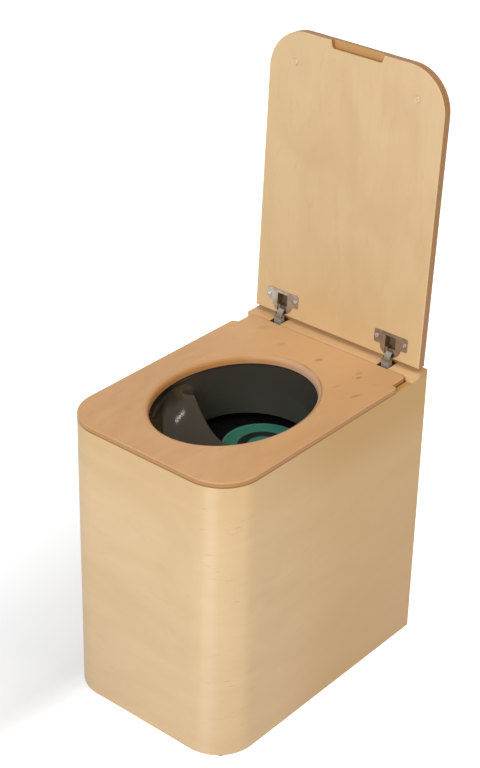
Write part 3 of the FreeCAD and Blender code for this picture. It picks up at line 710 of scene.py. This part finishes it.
def rounded_section(width, height, z_low, radius, steps):
    """Outline of a wall's section with rounded corners, going round once.

    Four quarter circles in turn. Returns the depth from the outer face and the height.
    """
    quarter = np.linspace(0, np.pi / 2, steps)
    corners = [(width - radius, radius, -np.pi / 2), (width - radius, height - radius, 0.0)]
    corners += [(radius, height - radius, np.pi / 2), (radius, radius, np.pi)]
    turns = np.concatenate([quarter + start for _, _, start in corners])
    middles = np.repeat([(d, h) for d, h, _ in corners], steps, axis=0)
    return middles[:, 0] + radius * np.cos(turns), z_low + middles[:, 1] + radius * np.sin(turns)


def casing_path(straight_steps, bend_steps):
    """Plan of the casing's outer face from the left rear end round the front to the right rear end.

    A straight side, a quarter circle, the straight front, a quarter circle and a straight side. Returns the
    places, the outward directions and the distance run.
    """
    half, front, rear = casing_high.x, casing_low.y, casing_high.y
    inner_x, inner_y = half - corner_radius, front + corner_radius
    bend = np.linspace(0, np.pi / 2, bend_steps)[1:-1]
    share = np.linspace(0, 1, straight_steps)
    level = np.ones(straight_steps)
    left_y = rear + (inner_y - rear) * share
    x = [-half * level, -inner_x - corner_radius * np.cos(bend), inner_x * (2 * share - 1)]
    x += [inner_x + corner_radius * np.sin(bend), half * level]
    y = [left_y, inner_y - corner_radius * np.sin(bend), front * level]
    y += [inner_y - corner_radius * np.cos(bend), left_y[::-1]]
    turn = [np.pi * level, np.pi + bend, 1.5 * np.pi * level, 1.5 * np.pi + bend, 2 * np.pi * level]
    x, y, turn = np.concatenate(x), np.concatenate(y), np.concatenate(turn)
    run = np.concatenate([[0], np.cumsum(np.hypot(np.diff(x), np.diff(y)))])
    return x, y, np.cos(turn), np.sin(turn), run


def bent_casing():
    """The wall's rounded section carried round the casing's plan, with flat caps on both rear ends.

    The mesh keeps each point's depth below the outer face, and its place on the unrolled sheet as a UV map.
    """
    straight_steps, bend_steps, round_steps, crisp_deg = 30, 33, 4, 50
    x, y, out_x, out_y, run = casing_path(straight_steps, bend_steps)
    height = casing_high.z - casing_low.z
    depth, z = rounded_section(casing_wall, height, casing_low.z, casing_edge_round, round_steps)
    rows, columns = len(x), len(z)
    places = [x[:, None] - out_x[:, None] * depth, y[:, None] - out_y[:, None] * depth]
    points = np.stack(places + [np.broadcast_to(z, (rows, columns))], -1).reshape(-1, 3)
    ring = np.arange(columns)
    faces = [*outward(points, grid_faces(rows, columns)), ring, ring[::-1] + (rows - 1) * columns]
    piece = new_piece("bent_casing", points, faces, "casing", "casing_birch", ["casing_shell"], crisp_deg)
    mesh = piece.data
    mesh.attributes.new("depth", "FLOAT", "POINT").data.foreach_set("value", np.tile(depth, rows))
    corner_vertex = np.zeros(len(mesh.loops), int)
    mesh.loops.foreach_get("vertex_index", corner_vertex)
    unrolled = np.stack([np.repeat(run, columns), np.tile(z, rows)], -1)[corner_vertex]
    mesh.uv_layers.new(name="unrolled").data.foreach_set("uv", unrolled.ravel())


def lathe(radius, height, turns):
    """A profile carried once round its axis: radius and height give one row of points for each pair."""
    turn = np.linspace(0, 2 * np.pi, turns, endpoint=False)
    flat = np.stack([radius[:, None] * np.cos(turn), radius[:, None] * np.sin(turn)], -1)
    return np.concatenate([flat, np.broadcast_to(height[:, None, None], (len(height), turns, 1))], -1)


def smooth_step(value, low, high):
    """0 below low, 1 above high and a cubic rise between."""
    share = np.clip((value - low) / (high - low), 0, 1)
    return share * share * (3 - 2 * share)


def soft_max(a, b, blend):
    """The larger of two values, rounded off over a blend where they cross."""
    return (a + b + np.sqrt((a - b) ** 2 + blend**2)) / 2


def way_to_oval(turn, start_y, middle_y, half_width, half_length):
    """How far an oval lies from a point on the middle line, along directions given by their angles."""
    across, along = np.cos(turn) / half_width, np.sin(turn) / half_length
    start = (start_y - middle_y) / half_length
    square = across**2 + along**2
    return (np.sqrt((along * start) ** 2 - square * (start**2 - 1)) - along * start) / square


def sheet(upper, lower, keep):
    """Two grids of points, closed round the columns, as the faces of one sheet.

    Cells that aren't kept are left out, and every free edge is closed by a quad between the two faces.
    """
    rows, columns = upper.shape[:2]
    count = rows * columns
    faces = grid_faces(rows, columns)[keep.ravel()]
    edges = np.concatenate([faces[:, [a, (a + 1) % 4]] for a in range(4)])
    free = edges[~np.isin(edges[:, 0] * count + edges[:, 1], edges[:, 1] * count + edges[:, 0])]
    sides = np.stack([free[:, 1], free[:, 0], free[:, 0] + count, free[:, 1] + count], -1)
    points = np.concatenate([upper.reshape(-1, 3), lower.reshape(-1, 3)])
    return points, outward(points, np.concatenate([faces, faces[:, ::-1] + count, sides]))


# Depth of the bowl's floor as a share of the drain's, by the way from the drain as a share of the reach
floor_reach = [0.0, 0.062, 0.11, 0.18, 0.26, 0.32, 0.39, 0.46]
floor_depth = [1.06, 1.00, 0.90, 0.835, 0.775, 0.71, 0.605, 0.495]
floor_reach += [0.50, 0.55, 0.60, 0.65, 0.72, 0.80, 0.90, 1.3]
floor_depth += [0.440, 0.380, 0.330, 0.295, 0.28, 0.34, 0.48, 0.62]


def bowl_floor(reach):
    """Height of the bowl's floor: the depths above, evened out over a tenth of the reach."""
    samples, half_window = 261, 9
    even = np.linspace(0, floor_reach[-1], samples)
    window = np.hanning(2 * half_window + 1)
    depths = np.pad(np.interp(even, floor_reach, floor_depth), half_window, mode="edge")
    smooth = np.convolve(depths, window / window.sum(), "valid")
    return seat_high.z - drain_depth * np.interp(reach / bowl_reach, even, smooth)


def moulded_insert():
    """The separating insert as one moulded sheet, on rays from the chute's middle and steps along each ray.

    Each profile comes in over the flange to the rim, follows the larger of the wall's height and the
    floor's with a soft fillet between, which is half as wide near the lip, goes over the dividing lip and
    drops to the chute's foot. The floor sinks to the spout's end within the drain, where the cells are left
    out. The ridge is evened along the profile, and each end of the lip is melted into the wall by averaging
    neighbours.
    """
    u = np.linspace(0, 2 * np.pi, insert_rays, endpoint=False)
    turn = np.pi / 2 + u + ray_crowding * np.sin(u)
    foot_half_length = np.where(np.sin(turn) < 0, foot_front_reach, chute_radius)
    flange = way_to_oval(turn, chute_y, hole_middle.y, flange_half_width, flange_half_length)
    rim = way_to_oval(turn, chute_y, hole_middle.y, rim_half_width, rim_half_length)
    foot = way_to_oval(turn, chute_y, chute_y, chute_radius, foot_half_length)
    lip = way_to_oval(turn, chute_y, lip_centre_y, lip_radius, lip_radius)
    drop = insert_rim_z - insert_foot_z

    def way_to_edge(z):
        """How far the nearer of the lip and the wall at a height lies, rounded off where they cross."""
        wall = rim - (rim - foot) * (insert_rim_z - z) / drop
        return -soft_max(-lip, -wall, lip_blend)

    step = np.linspace(0, 1, wall_steps)[:, None]
    way = rim + (way_to_edge(lip_end[2]) - rim) * step
    x, y = way * np.cos(turn), chute_y + way * np.sin(turn)
    share = (rim - way) / (rim - foot)
    reach = np.hypot(x, y - drain_y)
    ahead = np.hypot(x, y - lip_centre_y) - lip_radius
    floor = bowl_floor(reach) - lip_fall * (1 - smooth_step(ahead, lip_fall_end, lip_fall_start))
    fillet = floor_fillet * smooth_step(share, 0.0, fillet_full_share)
    fillet = fillet * (0.5 + 0.5 * smooth_step(ahead, 0.0, fillet_full_ahead))
    z = soft_max(insert_rim_z - drop * share, floor, fillet)
    off_drain = smooth_step(reach, drain_radius - drain_edge_in, drain_radius + drain_edge_out)
    z = spout_z + (z - spout_z) * off_drain
    fall = np.linspace(0, 1, apron_steps + 1)[1:, None]
    apron_z = z[-1] + (insert_foot_z - z[-1]) * fall
    inwards = np.linspace(0, 1, flange_steps + 1)[:-1, None]
    ways = np.concatenate([flange + (rim - flange) * inwards, way, way_to_edge(apron_z)])
    heights = np.concatenate([np.full((flange_steps, insert_rays), insert_rim_z), z, apron_z])
    upper = np.stack([ways * np.cos(turn), chute_y + ways * np.sin(turn), heights], -1)
    from_ridge = np.arange(len(upper)) - (flange_steps + wall_steps - 1)
    ridge = np.exp(-((from_ridge / ridge_rows) ** 2))[1:-1, None, None]
    for _ in range(ridge_passes):
        upper[1:-1] += ridge * (upper[2:] + upper[:-2] - 2 * upper[1:-1]) / 4
    to_end = np.linalg.norm(np.abs(upper) * (1, 0, 0) + upper * (0, 1, 1) - lip_end, axis=-1)
    melt = np.exp(-((to_end / melt_radius) ** 2))[1:-1, :, None]
    for _ in range(melt_passes):
        beside = np.roll(upper, -1, axis=1) + np.roll(upper, 1, axis=1)
        upper[1:-1] += melt * (upper[2:] + upper[:-2] + beside[1:-1] - 4 * upper[1:-1]) / 8
    along = np.gradient(upper, axis=0)
    around = np.roll(upper, -1, axis=1) - np.roll(upper, 1, axis=1)
    normal = np.cross(around, along)
    normal /= np.linalg.norm(normal, axis=-1, keepdims=True)
    normal *= np.sign(normal[1, 0, 2])
    lower = upper - insert_wall * normal
    far = np.hypot(upper[..., 0], upper[..., 1] - drain_y)
    open_points = (far < drain_radius - open_margin) & (upper[..., 2] < spout_z + open_rise)
    open_pairs = open_points[:-1] & open_points[1:]
    points, faces = sheet(upper, lower, ~(open_pairs & np.roll(open_pairs, -1, axis=1)))
    points[:, 2] = np.clip(points[:, 2], spout_z, insert_rim_z)
    nodes = ["urine_diverter"]
    new_piece("moulded_insert", points, faces, "seat", "insert_plastic", nodes, insert_crisp_deg)


def cross_head_screw(shank_radius, shank_length, head_radius, head_height):
    """A screw along +Z with its head below zero: a crowned head with a cross recess, and a pointed shank.

    The crown falls with the fourth power of the radius. The recess sinks where a point lies near one of the
    two arms, by the smaller of its two distances, and within the recess's reach.
    """
    crown_rows, turns = 18, 40
    crown_radius = np.linspace(0, head_radius, crown_rows)
    crown = -head_height * (1 - 0.45 * (crown_radius / head_radius) ** 4)
    foot_radius = np.array([head_radius, shank_radius, shank_radius, shank_radius * 0.8, 0.0])
    foot = np.array([0.0, 0.0, shank_length * 0.75, shank_length * 0.85, shank_length])
    points = lathe(np.append(crown_radius, foot_radius), np.append(crown, foot), turns)
    x, y = np.abs(points[..., 0]), np.abs(points[..., 1])
    arm = 1 - smooth_step(np.minimum(x, y), head_radius * 0.12, head_radius * 0.2)
    near = 1 - smooth_step(np.hypot(x, y), head_radius * 0.5, head_radius * 0.64)
    on_head = np.arange(len(points))[:, None] < crown_rows
    points[..., 2] += arm * near * on_head * head_height * 0.6
    return points


def screw_set(name, node, body, places, axes, sizes):
    """The same screw at several places, turned so that its +Z runs along the third of the axes."""
    shape = cross_head_screw(*sizes)
    rows, columns = shape.shape[:2]
    local = shape.reshape(-1, 3) @ np.array(axes)
    points = np.concatenate([local + np.array(place) for place in places])
    faces = outward(shape.reshape(-1, 3), grid_faces(rows, columns))
    faces = np.concatenate([faces + rows * columns * step for step in range(len(places))])
    new_piece(name, points, faces, body, "screw_steel", [node], screw_crisp_deg)


def on_lid(x, into, up):
    """A place on the open lid from the lid's own axes: across, into the board and up it."""
    return (x, lid_base.y + into * lean_cos + up * lean_sin, lid_base.z - into * lean_sin + up * lean_cos)


def lathed_piece(name, points, middle, body, node, crisp_deg):
    """A lathe about the Z axis, moved to a middle, as a black plastic piece that stands for a node."""
    flat = points.reshape(-1, 3)
    faces = outward(flat - (0, 0, flat[:, 2].min()), grid_faces(*points.shape[:2]))
    new_piece(name, flat + (middle.x, middle.y, 0), faces, body, "bucket_plastic", [node], crisp_deg)


def ridged_bucket_lid():
    """The bucket's lid as a lathe, with a sunk ring between the label's seat and the rim.

    Radial ribs stand in the sunk ring: the ring's depth is scaled down by a soft square wave of the angle.
    """
    top, foot, radius = bucket_lid_high.z, bucket_lid_low.z, (bucket_lid_high.x - bucket_lid_low.x) / 2
    ring_end, ring_depth, ease, wall = 0.100, 0.0014, 0.002, 0.0022
    label_gap, plate_thickness = 0.002, 0.0025
    label_seat, plate = (label_high.x - label_low.x) / 2 + label_gap, top - plate_thickness
    turns, rib_count, arc_steps, crisp_deg = 192, 24, 6, 30
    arc = np.linspace(0, np.pi / 2, arc_steps)
    face_r = [0, label_seat, label_seat + ease, ring_end - ease, ring_end, radius - ease]
    face_z = np.full(len(face_r), top)
    r = [face_r, radius - ease + ease * np.sin(arc), [radius, radius - wall, radius - wall, 0]]
    z = [face_z, top - ease + ease * np.cos(arc), [foot, foot, plate, plate]]
    points = lathe(np.concatenate(r), np.concatenate(z), turns)
    in_ring = np.isin(np.arange(len(points)), (2, 3))[:, None]
    turn = np.linspace(0, 2 * np.pi, turns, endpoint=False)
    rib = smooth_step(np.cos(rib_count * turn), 0.6, 0.95)
    points[..., 2] -= in_ring * ring_depth * (1 - 0.8 * rib)
    middle = (bucket_lid_low + bucket_lid_high) / 2
    lathed_piece("ridged_bucket_lid", points, middle, "bucket_cover", "bucket_lid", crisp_deg)


def tapered_bucket():
    """The bucket as a lathe: a tapering wall, a round foot, two ribs under a rolled rim, and its inside."""
    low, high, rim = bucket_low.z, bucket_high.z, (bucket_high.x - bucket_low.x) / 2
    wall, foot_round, bead_height, bead_round, rib_size = 0.0022, 0.006, 0.008, 0.002, 0.0022
    throat, base, rib_drops = rim - 0.003, rim - 0.019, (0.030, 0.042)
    turns, wall_rows, arc_steps, crisp_deg = 96, 160, 6, 35
    arc = np.linspace(0, np.pi / 2, arc_steps)
    up = np.linspace(0, 1, wall_rows)[1:-1]
    bead_z, bead_r = high - bead_height, rim - bead_round
    foot_r = base - foot_round + foot_round * np.sin(arc)
    foot_z = low + foot_round - foot_round * np.cos(arc)
    wall_z = low + foot_round + (bead_z - low - foot_round) * up
    ribs = sum(np.exp(-(((wall_z - (high - drop)) / rib_size) ** 2)) for drop in rib_drops)
    wall_r = base + (throat - base) * up + rib_size * ribs
    r = [[0.0], foot_r, wall_r, [throat], bead_r + bead_round * np.sin(arc)]
    z = [[low], foot_z, wall_z, [bead_z], bead_z + bead_round - bead_round * np.cos(arc)]
    r += [bead_r + bead_round * np.cos(arc), [throat - wall, base - wall, 0.0]]
    z += [high - bead_round + bead_round * np.sin(arc), [high, low + wall, low + wall]]
    points = lathe(np.concatenate(r), np.concatenate(z), turns)
    middle = (bucket_low + bucket_high) / 2
    lathed_piece("tapered_bucket", points, middle, "bucket", "solids_bucket", crisp_deg)


bent_casing()
moulded_insert()
ridged_bucket_lid()
tapered_bucket()

# Screws: their places, the axes they point along, and the sizes of shank and head as radius and length
sides = (-1, 1)
into_lid = [(1, 0, 0), (0, -lean_sin, -lean_cos), (0, lean_cos, -lean_sin)]
into_rear = [(1, 0, 0), (0, 0, -1), (0, 1, 0)]
upwards = [(1, 0, 0), (0, 1, 0), (0, 0, 1)]
hinge_ends = [(side * hinge_x, end) for side in sides for end in sides]
cup_spread, cup_flange, cup_up = 0.024, 0.0012, 0.0277
cup_places = [on_lid(x + end * cup_spread, -cup_flange, cup_up) for x, end in hinge_ends]
plate_spread, plate_y, plate_z = 0.016, casing_high.y - 0.014, seat_high.z - 0.038
plate_places = [(x + end * plate_spread, plate_y, plate_z) for x, end in hinge_ends]
arm_spread, arm_y, arm_z = 0.010, casing_high.y - 0.0308, seat_high.z - 0.036
arm_places = [(x, arm_y, arm_z + end * arm_spread) for x, end in hinge_ends]
insert_count, ring_width, insert_screw_z = 6, 0.0095, seat_high.z - 0.018
insert_turns = [2 * math.pi * (step + 0.5) / insert_count for step in range(insert_count)]
ring_half_width, ring_half_length = hole_half_width + ring_width, hole_half_length + ring_width
insert_places = [
    (ring_half_width * math.cos(turn), hole_middle.y + ring_half_length * math.sin(turn), insert_screw_z)
    for turn in insert_turns
]
cup_screw = (0.0016, 0.0097, 0.0032, 0.0008)
plate_screw = (0.0016, 0.011, 0.0032, 0.002)
arm_screw = (0.002, 0.0163, 0.003, 0.0015)
insert_screw = (0.0016, 0.012, 0.0032, 0.002)
screw_set("cup_flange_screws", "cup_screws", "lid", cup_places, into_lid, cup_screw)
screw_set("wing_screws", "plate_screws", "casing", plate_places, into_rear, plate_screw)
screw_set("arm_bolts", "arm_screws", "casing", arm_places, into_rear, arm_screw)
screw_set("insert_screws", "diverter_screws", "seat", insert_places, upwards, insert_screw)

# Studio: a pale floor that stays white to the eye except in the toilet's shadow, and soft lamps
shadow_start = 0.16
shadow_fade = 0.78
shadow_lift = 0.18
floor_lift = 0.85
white_right_span = (-shadow_start, 0.02)
white_rear_span, white_front_span = (0.1, 0.5), (0.5, 0.9)
floor_half = 6.0
floor_grey = (0.78, 0.80, 0.83, 1.0)
white = (1.0, 1.0, 1.0)


def seen_rays(finish):
    """1 for rays from the camera, and for those that reach here by a mirror or through glass."""
    kinds = ("Is Camera Ray", "Is Glossy Ray", "Is Transmission Ray")
    camera, glossy, through = [finish.node("ShaderNodeLightPath", {}, {}, kind) for kind in kinds]
    return finish.math("MAXIMUM", finish.math("MAXIMUM", camera, glossy), through)


def floor_finish():
    """A matt floor, lifted for rays that look straight or by reflection so that only the shadow shows.

    The lift is least along the toilet's left side and grows to the left of it. To the right, behind and far
    in front it is full, and the floor is white.
    """
    finish = Finish("studio_floor")
    matt = finish.node("ShaderNodeBsdfDiffuse", {}, {"Color": floor_grey})
    x, y = [finish.part(finish.place(), axis) for axis in "XY"]
    leftwards = finish.math("MAXIMUM", -x - shadow_start, 0.0) * shadow_fade
    rightwards = finish.step(x, *white_right_span)
    behind, in_front = finish.step(y, *white_rear_span), finish.step(-y, *white_front_span)
    grown = shadow_lift + leftwards + (rightwards + behind + in_front) * floor_lift
    lift = finish.math("MINIMUM", grown, floor_lift)
    lifted = {"Color": (*white, 1.0), "Strength": seen_rays(finish) * lift}
    glow = finish.node("ShaderNodeEmission", {}, lifted)
    both = finish.node("ShaderNodeAddShader", {}, {0: matt, 1: glow})
    finish.node("ShaderNodeOutputMaterial", {}, {0: both})
    return finish.material


corner = np.array([-floor_half, floor_half])
floor_x, floor_y = np.meshgrid(corner, corner, indexing="ij")
floor_points = np.stack([floor_x, floor_y, np.zeros((2, 2))], -1).reshape(-1, 3)
floor_mesh = bpy.data.meshes.new("studio_floor")
floor_mesh.from_pydata(floor_points.tolist(), [], [[0, 2, 3, 1]])
floor_mesh.materials.append(floor_finish())
floor = bpy.data.objects.new("studio_floor", floor_mesh)
bpy.context.scene.collection.objects.link(floor)


class Sky(Finish):
    """The world's own node tree, built with the same methods."""

    def __init__(self):
        world = bpy.data.worlds.new("studio")
        world.use_nodes = True
        bpy.context.scene.world = world
        self.tree = world.node_tree
        self.tree.nodes.clear()


sky_light = 0.43
warm_light = (1.0, 0.945, 0.85)
sky = Sky()
seen = seen_rays(sky)
sky_tone = sky.mix(seen, warm_light, white)
sky_strength = seen * (1 - sky_light) + sky_light
sky_glow = sky.node("ShaderNodeBackground", {}, {"Color": sky_tone, "Strength": sky_strength})
sky.node("ShaderNodeOutputWorld", {}, {0: sky_glow})


lamp_distance = 3.0
aim_height = 0.45


def softbox(name, azimuth, elevation, width, height, power, tone, roll=0.0):
    """A lamp aimed at the toilet's middle. Azimuth 0 is straight in front of it, 90 to its right."""
    a, e = math.radians(azimuth), math.radians(elevation)
    towards = Vector((math.sin(a) * math.cos(e), -math.cos(a) * math.cos(e), math.sin(e)))
    lamp = bpy.data.lights.new(name, "AREA")
    lamp.shape = "RECTANGLE"
    lamp.size, lamp.size_y, lamp.energy, lamp.color = width, height, power, tone
    holder = bpy.data.objects.new(name, lamp)
    aim = towards.to_track_quat("Z", "Y").to_matrix().to_4x4()
    place = Matrix.Translation(Vector((0, 0, aim_height)) + towards * lamp_distance)
    holder.matrix_world = place @ aim @ Matrix.Rotation(math.radians(roll), 4, "Z")
    bpy.context.scene.collection.objects.link(holder)
    return holder


# Lamps: azimuth and elevation in degrees, width and height in metres, power in watts, and tone
cool_tone = (0.93, 1.0, 1.10)
white_tone = (1.0, 0.98, 0.93)
warm_tone = (1.0, 0.86, 0.62)
softbox("front_softbox", 13, 33, 1.4, 1.8, 57, cool_tone)
softbox("side_softbox", 88, 45, 0.8, 1.6, 5.5, warm_tone).visible_glossy = False
softbox("side_strip", 90, 12, 0.45, 1.2, 6, warm_tone)
softbox("rear_softbox", 180, 12, 0.3, 1.4, 14, warm_light)
softbox("top_strip", 106.8, 63.3, 0.06, 1.05, 9.5, white_tone, roll=4.7)

# Camera of the photograph: azimuth, elevation and roll in degrees, for a frame of 480 x 768
view_azimuth, view_elevation, view_roll = [math.radians(v) for v in (39.743, 29.853, 1.242)]
view_place = Vector((1.401232, -1.707575, 1.724262))
level = math.cos(view_elevation)
back = Vector((math.sin(view_azimuth) * level, -math.cos(view_azimuth) * level, math.sin(view_elevation)))
right = Vector((0, 0, 1)).cross(back).normalized()
view_axes = Matrix((right, back.cross(right), back)).transposed() @ Matrix.Rotation(view_roll, 3, "Z")
camera_data = bpy.data.cameras.new("photo_camera")
camera_data.lens = 86.81
camera_data.sensor_width = 36.0
camera = bpy.data.objects.new("photo_camera", camera_data)
camera.matrix_world = Matrix.Translation(view_place) @ view_axes.to_4x4()
bpy.context.scene.collection.objects.link(camera)
bpy.context.scene.camera = camera
bpy.context.scene.view_settings.view_transform = "Standard"
